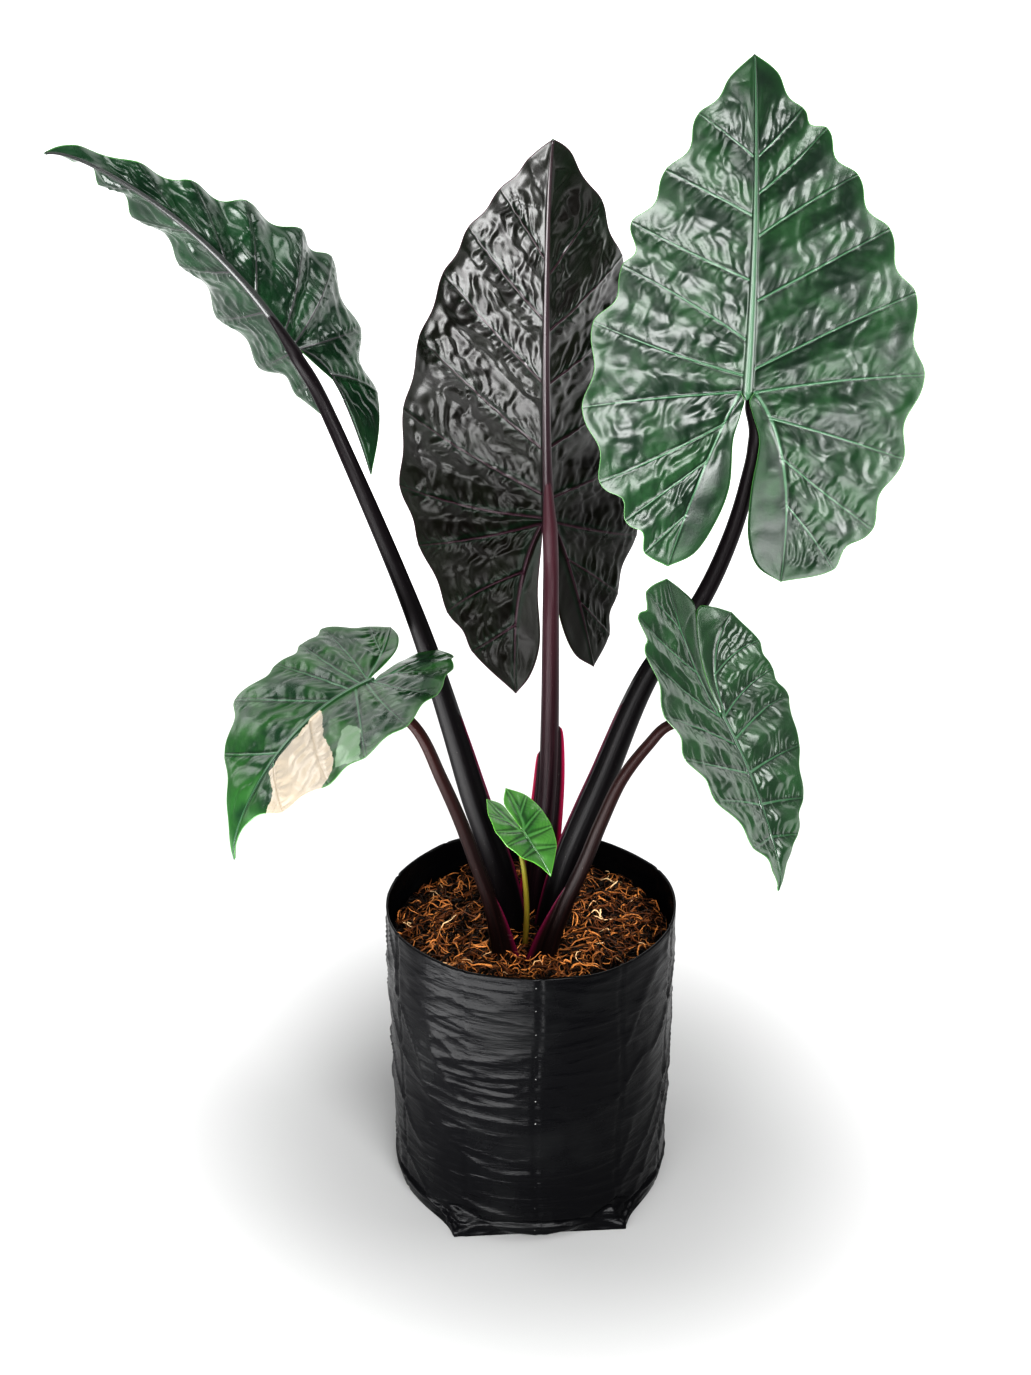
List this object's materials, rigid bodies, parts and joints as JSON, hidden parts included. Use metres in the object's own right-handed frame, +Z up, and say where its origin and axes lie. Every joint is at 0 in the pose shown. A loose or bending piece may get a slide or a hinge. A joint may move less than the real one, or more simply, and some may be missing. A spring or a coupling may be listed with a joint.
{
  "type": "potted house plant",
  "caption": "Upright aroid plant with broad scalloped arrow-heart leaves on dark stalks, rooted in fibrous soil in a round soft black grow bag with a flat folded base.",
  "frame": {"origin": "centre of the flat underside of the grow bag, where the plant rests", "axes": "+Z up; the pictured side faces -Y, with +X to its right"},
  "size_m": [0.4773, 0.272, 0.7268],
  "materials": {
    "film": "glossy wrinkled black polythene film",
    "coir": "matt brown coir fibre and husk",
    "corm": "matt fibrous brown",
    "dark_stalk": "satin near-black skin with a mauve bloom at the top",
    "purple_stalk": "satin aubergine skin",
    "brown_stalk": "satin dark red-brown skin",
    "olive_stalk": "satin olive-ochre skin",
    "leaf_bright": "glossy quilted green with pale veins and a thin light margin",
    "leaf_deep": "glossy quilted deep green",
    "leaf_underside": "glossy dark olive-purple underside with raised veins",
    "leaf_variegated": "glossy green with one cream and one pale mint patch",
    "leaf_young": "glossy fresh green with a yellow-green margin"
  },
  "bodies": {
    "root": {"grow_bag": "film", "soil": "coir", "corm": "corm", "petiole_right_high": "dark_stalk", "leaf_right_high": "leaf_bright", "petiole_middle": "purple_stalk", "leaf_middle": "leaf_underside", "petiole_left_high": "dark_stalk", "leaf_left_high": "leaf_deep", "petiole_left_low": "brown_stalk", "leaf_left_low": "leaf_variegated", "petiole_right_low": "brown_stalk", "leaf_right_low": "leaf_deep", "petiole_small": "olive_stalk", "leaf_small": "leaf_young"}
  },
  "joints": []
}
